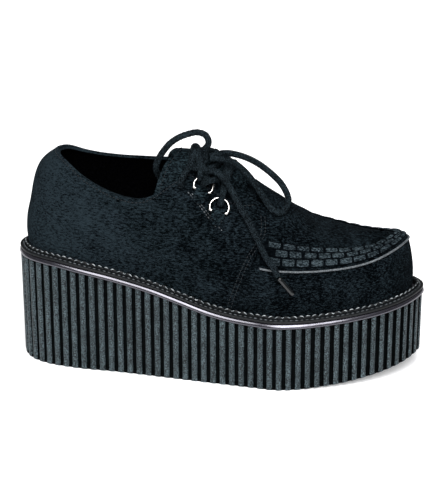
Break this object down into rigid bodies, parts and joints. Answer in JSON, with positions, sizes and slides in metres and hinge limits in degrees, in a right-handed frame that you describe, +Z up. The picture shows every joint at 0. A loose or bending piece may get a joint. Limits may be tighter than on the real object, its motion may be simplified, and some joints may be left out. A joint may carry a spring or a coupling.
{
  "type": "creeper shoe",
  "caption": "Low lace-up creeper shoe for the right foot, in suede with an apron toe and woven band, on a tall ribbed platform sole.",
  "frame": {"origin": "on the floor, under the middle of the sole", "axes": "+X from the heel to the toe, +Y to the inner side of the foot, +Z up"},
  "size_m": [0.2711, 0.0981, 0.1682],
  "materials": {
    "sole": "matte",
    "rim": "satin",
    "welt": "matte",
    "lining": "matte",
    "suede": "napped",
    "piping": "matte",
    "weave": "napped",
    "ring": "polished",
    "lace": "braided",
    "tip": "satin"
  },
  "bodies": {
    "root": {"outsole": "sole", "midsole_rim": "rim", "welt": "welt", "insole": "lining", "upper": "suede", "tongue": "suede", "quarter_outer": "suede", "quarter_inner": "suede", "apron_piping": "piping", "woven_band": "weave", "ring_top_outer": "ring", "tab_top_outer": "suede", "ring_top_inner": "ring", "tab_top_inner": "suede", "ring_lower_outer": "ring", "tab_lower_outer": "suede", "ring_lower_inner": "ring", "tab_lower_inner": "suede", "lace_crossings": "lace", "lace_knot": "lace", "lace_loop_rear": "lace", "lace_loop_front": "lace", "lace_end_outer": "lace", "lace_end_inner": "lace", "aglet_outer": "tip", "aglet_inner": "tip"}
  },
  "joints": []
}
